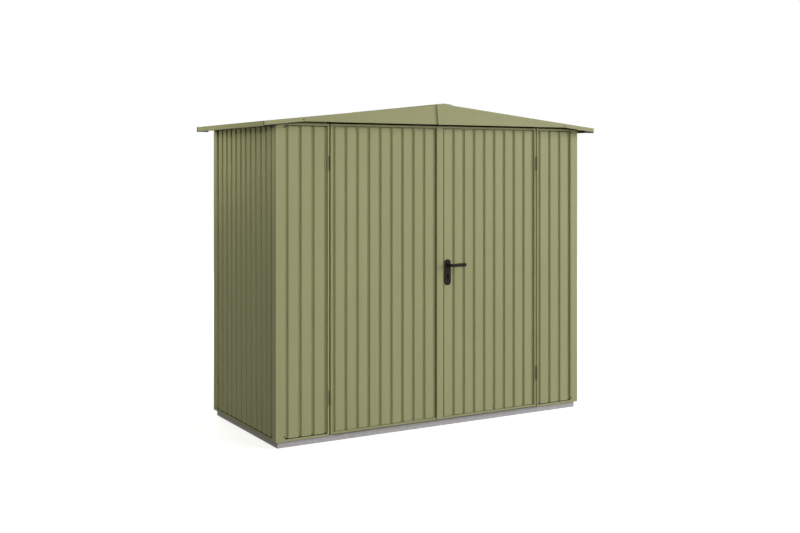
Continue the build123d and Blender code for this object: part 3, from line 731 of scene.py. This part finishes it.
# Roof sheets with broad ribs down the slope
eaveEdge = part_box("eave_trim_right")[1].x
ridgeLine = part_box("ridge_beam")[1].z
halfWidth = wallWidth / 2
slope = (ridgeLine - frameTop) / halfWidth
tilt = math.atan(slope)
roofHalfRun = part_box("roof_left")[1].y
roof = {"sheet": 0.0008, "ribHeight": 0.016, "ribTop": 0.040, "ribFlank": 0.014, "ribs": 10, "edgeGap": 0.004,
        "ridgeGap": 0.006, "bend": 0.0030}
roofLift = (roof["ribHeight"] + roof["sheet"]) / math.cos(tilt)


def roofHeight(across):
    return frameTop + (halfWidth - across) * slope


roofLow = eaveEdge - roof["edgeGap"]
pitch = (roofHalfRun * 2 - roof["ribTop"]) / (roof["ribs"] - 1)
roofPoints = []
for index in range(roof["ribs"]):
    rise = index * pitch - roofHalfRun
    roofPoints += rib(rise, rise + roof["ribTop"], roof["ribFlank"], 0, roof["ribHeight"])
roofPoints = roofPoints[1:-1]  # the sheet ends on top of its first and last rib
roofOut = Vector((-math.sin(tilt), 0, math.cos(tilt)))
roofUp = Vector((math.cos(tilt), 0, math.sin(tilt)))
roofRun = roofUp * ((roofLow - roof["ridgeGap"]) / math.cos(tilt))
roofLine = [Vector((-roofLow, along, roofHeight(roofLow))) + roofOut * rise for along, rise in roofPoints]
for side, flip in mirrors.items():
    strip = foldStrip("roofSheet" + side, flipped(roofLine, flip), flipped([roofRun], flip), roof["sheet"],
                      roof["bend"])
    settle(strip, *greenFrame, "roof_" + side.lower())

beam = {"half": 0.040, "leg": 0.040, "bend": 0.0022}
beamLow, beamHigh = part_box("ridge_beam")
shoulder = roofHeight(beam["half"])
beamLine = [(beam["half"], shoulder - beam["leg"]), (beam["half"], shoulder), (0, ridgeLine),
            (-beam["half"], shoulder), (-beam["half"], shoulder - beam["leg"])]
line = [Vector((across, beamHigh.y, height)) for across, height in beamLine]
strip = foldStrip("ridgeBeam", line, [Vector((0, beamLow.y - beamHigh.y, 0))], post["sheet"], beam["bend"])
settle(strip, *greenFrame, "ridge_beam")
print("roof made")

# Roof trims: verge fascias, eave trims, end caps and ridge cap
trim = {"sheet": 0.0012, "bend": 0.0022, "strip": 0.027, "aboveFrame": 0.008, "flange": 0.036, "lip": 0.010,
        "eaveLip": 0.030, "eaveHeight": 0.031, "flangeGap": 0.001}
trimLift = trim["sheet"] / math.cos(tilt)
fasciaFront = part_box("front_fascia_left")[0].y
fasciaBottom = frameTop + trim["aboveFrame"]


def ribTop(across):
    return roofHeight(across) + roofLift


endTop = ribTop(eaveEdge) + trimLift
knee = eaveEdge - (fasciaBottom - endTop + trim["strip"]) / slope
plateY = fasciaFront + trim["sheet"]
vergeLine = [
    Vector((-eaveEdge, plateY + trim["flange"], endTop)),
    Vector((-eaveEdge, fasciaFront, endTop)),
    Vector((-eaveEdge, fasciaFront, endTop - trim["strip"]))]
cornerCut = trim["eaveLip"] + trim["flangeGap"]
vergeRuns = [Vector((length, 0, length * slope)) for length in (cornerCut, eaveEdge - cornerCut)]
infillLine = [
    Vector((-knee, plateY, ribTop(knee))),
    Vector((-knee, plateY, fasciaBottom)),
    Vector((-knee, plateY + trim["lip"], fasciaBottom))]


def isCornerCut(face):  # the flange stops short of the eave trim
    center = face.calc_center_median()
    return isLevel(face) and abs(center.x) > eaveEdge - cornerCut


def raiseMiddle(piece):  # the infill plate rises with the roof towards the ridge
    pickVerts(piece, lambda place: abs(place.x) < closeTo and place.z > fasciaBottom + closeTo)
    bpy.ops.transform.translate(value=(0, 0, ribTop(0) - ribTop(knee)))


for side, across in (("left", 1), ("right", -1)):
    for end, deep in (("front", 1), ("back", -1)):
        flip = (across, deep, 1)
        mirroredRuns = [Vector((run.x * across, run.y * deep, run.z)) for run in vergeRuns]
        verge = foldStrip("verge", flipped(vergeLine, flip), mirroredRuns, trim["sheet"], trim["bend"],
                          cut=isCornerCut)
        infill = foldStrip("infill", flipped(infillLine, flip), [Vector((knee * across, 0, 0))],
                           trim["sheet"], trim["bend"], shape=raiseMiddle)
        name = end + "Fascia" + side.title()
        settle(joinPieces(name, [verge, infill]), *greenFrame, f"{end}_fascia_{side}")

eaveTop = endTop - frameTop
overhang = eaveEdge - halfWidth
eaveLine = [
    (trim["eaveLip"] - overhang, eaveTop + trim["eaveLip"] * slope), (-overhang, eaveTop),
    (-overhang, eaveTop - trim["eaveHeight"]), (trim["eaveLip"] - overhang, eaveTop - trim["eaveHeight"])]
eaveStart = wallDepth / 2 - roofHalfRun
for wall in ("left", "right"):
    strip = levelFold("eaveTrim" + wall.title(), wall, eaveLine, eaveStart, wallDepth - eaveStart, frameTop,
                      trim["sheet"], trim["bend"])
    settle(strip, *greenFrame, "eave_trim_" + wall)

endCap = {"width": 0.080, "depth": 0.016, "rounding": 0.0015, "bead": 0.009, "proud": 0.0008}
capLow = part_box("eave_end_caps")[0]
capOuter = -plateY
capInner = capOuter - endCap["depth"]
caps = []
for across in (-1, 1):
    for deep in (-1, 1):
        ends = [Vector((across * eaveEdge, deep * capOuter, capLow.z)),
                Vector((across * (eaveEdge - endCap["width"]), deep * capInner, ribTop(eaveEdge)))]
        cap = blockBetween("endCap", ends, endCap["rounding"])
        bpy.ops.object.mode_set(mode="EDIT")
        pickVerts(cap, lambda place: abs(place.x) < eaveEdge - endCap["width"] / 2 and place.z > frameTop)
        bpy.ops.transform.translate(value=(0, 0, endCap["width"] * slope))
        bpy.ops.object.mode_set(mode="OBJECT")
        caps.append(cap)
        ends = [Vector((across * (eaveEdge + endCap["proud"]), deep * capOuter, capLow.z)),
                Vector((across * (eaveEdge - endCap["bead"]), deep * capInner, endTop))]
        caps.append(blockBetween("capBead", ends, endCap["rounding"]))
settle(joinPieces("eaveEndCaps", caps), "shed_frame", "black_plastic", blackCap, "eave_end_caps")

ridgeCap = {"half": 0.058, "plateHalf": 0.048, "rise": 0.003, "proud": 0.005, "hem": 0.004}
capTop = ribTop(0) + trimLift + ridgeCap["rise"]
capEdge = capTop - ridgeCap["half"] * slope
capFront = fasciaFront - ridgeCap["proud"]


def turnDownEnds(piece):  # both ends of the ridge cap turn down over the joint of the fascias
    for endY in (capFront, -capFront):
        pickVerts(piece, lambda place: abs(place.y - endY) < closeTo and place.z > capEdge - closeTo)
        extrudeBy(Vector((0, 0, fasciaBottom - capTop)))
        bpy.ops.transform.resize(value=(ridgeCap["plateHalf"] / ridgeCap["half"], 1, 0),
                                 center_override=(0, endY, fasciaBottom))


capLine = [
    Vector((-ridgeCap["half"], -capFront, capEdge - ridgeCap["hem"])),
    Vector((-ridgeCap["half"], -capFront, capEdge)),
    Vector((0, -capFront, capTop)),
    Vector((ridgeCap["half"], -capFront, capEdge)),
    Vector((ridgeCap["half"], -capFront, capEdge - ridgeCap["hem"]))]
strip = foldStrip("ridgeCap", capLine, [Vector((0, capFront * 2, 0))], trim["sheet"], trim["bend"],
                  shape=turnDownEnds)
settle(strip, *greenFrame, "ridge_cap")
print("roof trims made")

# Galvanised base frame and ribbed floor
base = {"flange": 0.060, "sheet": 0.0015, "bend": 0.0025}
baseLow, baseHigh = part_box("base_frame")
baseFrame = box("baseFrame", baseLow, baseHigh)
bpy.ops.object.mode_set(mode="EDIT")
for level in (baseLow.z, baseHigh.z):
    pickFaces(baseFrame, lambda face: abs(face.calc_center_median().z - level) < closeTo)
    bpy.ops.mesh.inset(thickness=base["flange"])
    bpy.ops.mesh.delete(type="FACE")
pickEdges(baseFrame, isBend)
bpy.ops.mesh.bevel(offset=base["bend"], segments=folds["segments"], affect="EDGES")
bpy.ops.object.mode_set(mode="OBJECT")
frontFace = Vector((0, baseLow.y, (baseLow.z + baseHigh.z) / 2))
thicken(baseFrame, base["sheet"], Vector((0, 1, 0)), frontFace)
settle(baseFrame, *zincFrame, "base_frame")

floorPlate = {"ribs": 6, "ribHeight": 0.005, "ribTop": 0.030, "ribFlank": 0.010, "sheet": 0.001,
              "bend": 0.003}
floorLow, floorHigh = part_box("floor_panel")
floorPitch = (floorHigh.y - floorLow.y) / floorPlate["ribs"]
floorPoints = [(floorLow.y, 0)]
for index in range(floorPlate["ribs"]):
    rise = floorLow.y + index * floorPitch + (floorPitch - floorPlate["ribTop"]) / 2
    floorPoints += rib(rise, rise + floorPlate["ribTop"], floorPlate["ribFlank"], 0, floorPlate["ribHeight"])
floorPoints.append((floorHigh.y, 0))
line = [Vector((floorLow.x, along, floorLow.z + rise)) for along, rise in floorPoints]
strip = foldStrip("floorPanel", line, [Vector((floorHigh.x - floorLow.x, 0, 0))], floorPlate["sheet"],
                  floorPlate["bend"])
settle(strip, *zincFrame, "floor_panel")
print("base and floor made")

# Pan-head screws in the posts and fascias, one made and the rest copied
screw = {"head": 0.0100, "rise": 0.0026, "domeShare": 0.8, "domeSteps": 4, "recess": 0.0040, "sink": 0.0012,
         "taper": 0.8, "sides": 20, "facing": 0.99, "fromCorner": 0.0585, "fromTop": 0.0265,
         "fromBottom": 0.0315, "kneeIn": 0.004, "kneeRise": 0.010}


def screwHead(name):  # a domed head with a round recess
    head = rod(name, screw["head"] / 2, screw["sides"], (0, 0, 0), -screw["rise"])
    dome = screw["rise"] * screw["domeShare"]
    bpy.ops.object.mode_set(mode="EDIT")
    pickEdges(head, lambda edge: all(vert.co.y < closeTo - screw["rise"] for vert in edge.verts))
    bpy.ops.mesh.bevel(offset=dome, segments=screw["domeSteps"], affect="EDGES")
    pickFaces(head, lambda face: face.normal.y < -screw["facing"])
    bpy.ops.mesh.inset(thickness=screw["head"] / 2 - dome - screw["recess"] / 2)
    extrudeBy(Vector((0, screw["sink"], 0)))
    bpy.ops.transform.resize(value=(screw["taper"], 1, screw["taper"]))
    bpy.ops.object.mode_set(mode="OBJECT")
    bpy.ops.object.shade_smooth_by_angle(angle=folds["smoothAngle"])
    return head


def copyTo(piece, places):  # one copy with its own mesh for each place, with its front turned outwards there
    copies = []
    for place, outward in places:
        deselectAll()
        piece.select_set(True)
        bpy.context.view_layer.objects.active = piece
        bpy.ops.object.duplicate()
        copy = bpy.context.object
        copy.location = place
        copy.rotation_euler = Vector((0, -1, 0)).rotation_difference(outward).to_euler()
        bpy.ops.object.transform_apply()
        copies.append(copy)
    bpy.data.objects.remove(piece)
    return copies


screwPlaces = []
for wall, (corner, alongWay, inWay) in walls.items():
    length = wallWidth if wall in ("front", "back") else wallDepth
    for along in (screw["fromCorner"], length - screw["fromCorner"]):
        for height in (baseTop + screw["fromBottom"], frameTop - screw["fromTop"]):
            screwPlaces.append((onWall(wall, along, 0, height), -inWay))
for across in (-1, 1):
    for deep in (-1, 1):
        place = Vector((across * (knee - screw["kneeIn"]), deep * plateY, fasciaBottom + screw["kneeRise"]))
        screwPlaces.append((place, Vector((0, -deep, 0))))
screws = joinPieces("wallScrews", copyTo(screwHead("screwHead"), screwPlaces))
settle(screws, "shed_frame", "handle_black", blackScrew)
print("screws placed")

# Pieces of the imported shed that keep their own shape
for node, material in (("front_gable", greenPaint), ("back_gable", greenPaint), ("lock_case", lockZinc)):
    frame["nodes"][node].data.materials.clear()
    frame["nodes"][node].data.materials.append(material)

# Camera at the photograph's place: level, with the lens shifted so that uprights stay upright
view = {"place": (-3.8606, -6.6530, 1.7383), "yaw": 30.2, "lens": 48.37, "shiftY": -0.1233}
deselectAll()
bpy.ops.object.camera_add(location=view["place"], rotation=(quarterTurn, 0, math.radians(-view["yaw"])))
camera = bpy.context.object
camera.data.lens = view["lens"]
camera.data.shift_y = view["shiftY"]
bpy.context.scene.camera = camera

# White floor that keeps the shadow, soft lamps and a pale world
stage = {"floorSize": 60, "floorColour": "#C8C8C8", "bounceColour": "#6F6E66", "glow": 0.76, "world": 0.06,
         "glowStart": 2.5, "glowEnd": 8, "aimHeight": 1.0, "white": (1, 1, 1, 1)}


def seenRays(tree):  # 1 for what the camera sees, straight on, mirrored or through glass
    light = addNode(tree, "ShaderNodeLightPath")
    straight = addNode(tree, "ShaderNodeMath", {
        0: light.outputs["Is Camera Ray"], 1: light.outputs["Is Glossy Ray"]}, operation="MAXIMUM")
    seen = addNode(tree, "ShaderNodeMath", {
        0: straight.outputs["Value"], 1: light.outputs["Is Transmission Ray"]}, operation="MAXIMUM")
    return seen.outputs["Value"]


bpy.ops.mesh.primitive_plane_add(size=stage["floorSize"])
floor = bpy.context.object
floor.name = "studioFloor"
material, tree, shader = newMaterial("studioFloor")
floor.data.materials.append(material)
place = addNode(tree, "ShaderNodeTexCoord").outputs["Object"]
away = addNode(tree, "ShaderNodeVectorMath", {0: place}, operation="LENGTH")
fade = addNode(tree, "ShaderNodeMapRange", {
    "Value": away.outputs["Value"], "From Min": stage["glowStart"], "From Max": stage["glowEnd"],
    "To Min": stage["glow"], "To Max": 1})
matt = addNode(tree, "ShaderNodeBsdfDiffuse", {"Color": linear(stage["floorColour"])})
glow = addNode(tree, "ShaderNodeEmission", {"Color": stage["white"], "Strength": fade.outputs["Result"]})
bright = addNode(tree, "ShaderNodeAddShader", {0: matt.outputs[0], 1: glow.outputs[0]})
dim = addNode(tree, "ShaderNodeBsdfDiffuse", {"Color": linear(stage["bounceColour"])})
mixed = addNode(tree, "ShaderNodeMixShader", {0: seenRays(tree), 1: dim.outputs[0], 2: bright.outputs[0]})
tree.links.new(mixed.outputs[0], tree.nodes["Material Output"].inputs["Surface"])

world = bpy.data.worlds.new("studioWorld")
bpy.context.scene.world = world
world.use_nodes = True
tree = world.node_tree
strength = addNode(tree, "ShaderNodeMapRange", {
    "Value": seenRays(tree), "To Min": stage["world"], "To Max": 1})
tree.links.new(strength.outputs["Result"], tree.nodes["Background"].inputs["Strength"])
tree.nodes["Background"].inputs["Color"].default_value = stage["white"]

lamps = {  # turn from the front's middle, rise, distance from the shed, size and power
    "keyLamp": {"turn": 65, "rise": 11, "away": 18, "size": 7.0, "power": 2830, "colour": (0.91, 0.89, 1)},
    "highLamp": {"turn": 32, "rise": 34, "away": 18, "size": 7.0, "power": 690, "colour": (0.92, 0.94, 1)},
    "fillLamp": {"turn": -20, "rise": 9, "away": 16, "size": 1.4, "power": 765, "colour": (1, 1, 0.95)},
    "highFillLamp": {"turn": -18, "rise": 24, "away": 16, "size": 1.4, "power": 190,
                     "colour": (0.95, 0.92, 1)},
    "sideLamp": {"turn": -150, "rise": 14, "away": 5, "size": 1.5, "power": 57, "colour": (1, 0.99, 0.45)},
    "backLamp": {"turn": 176, "rise": 19, "away": 10, "size": 4.0, "power": 560, "colour": (0.95, 0.95, 1)},
}
target = Vector((0, 0, stage["aimHeight"]))
for name, lamp in lamps.items():
    deselectAll()
    turn, rise = math.radians(lamp["turn"]), math.radians(lamp["rise"])
    outward = Vector((math.sin(turn) * math.cos(rise), -math.cos(turn) * math.cos(rise), math.sin(rise)))
    aim = outward.to_track_quat("Z", "Y").to_euler()
    bpy.ops.object.light_add(type="AREA", location=target + outward * lamp["away"], rotation=aim)
    bpy.context.object.name = name
    bpy.context.object.data.size = lamp["size"]
    bpy.context.object.data.energy = lamp["power"]
    bpy.context.object.data.color = lamp["colour"]
    bpy.context.object.visible_camera = False
bpy.context.scene.view_settings.view_transform = "Standard"
print("camera and lamps set")
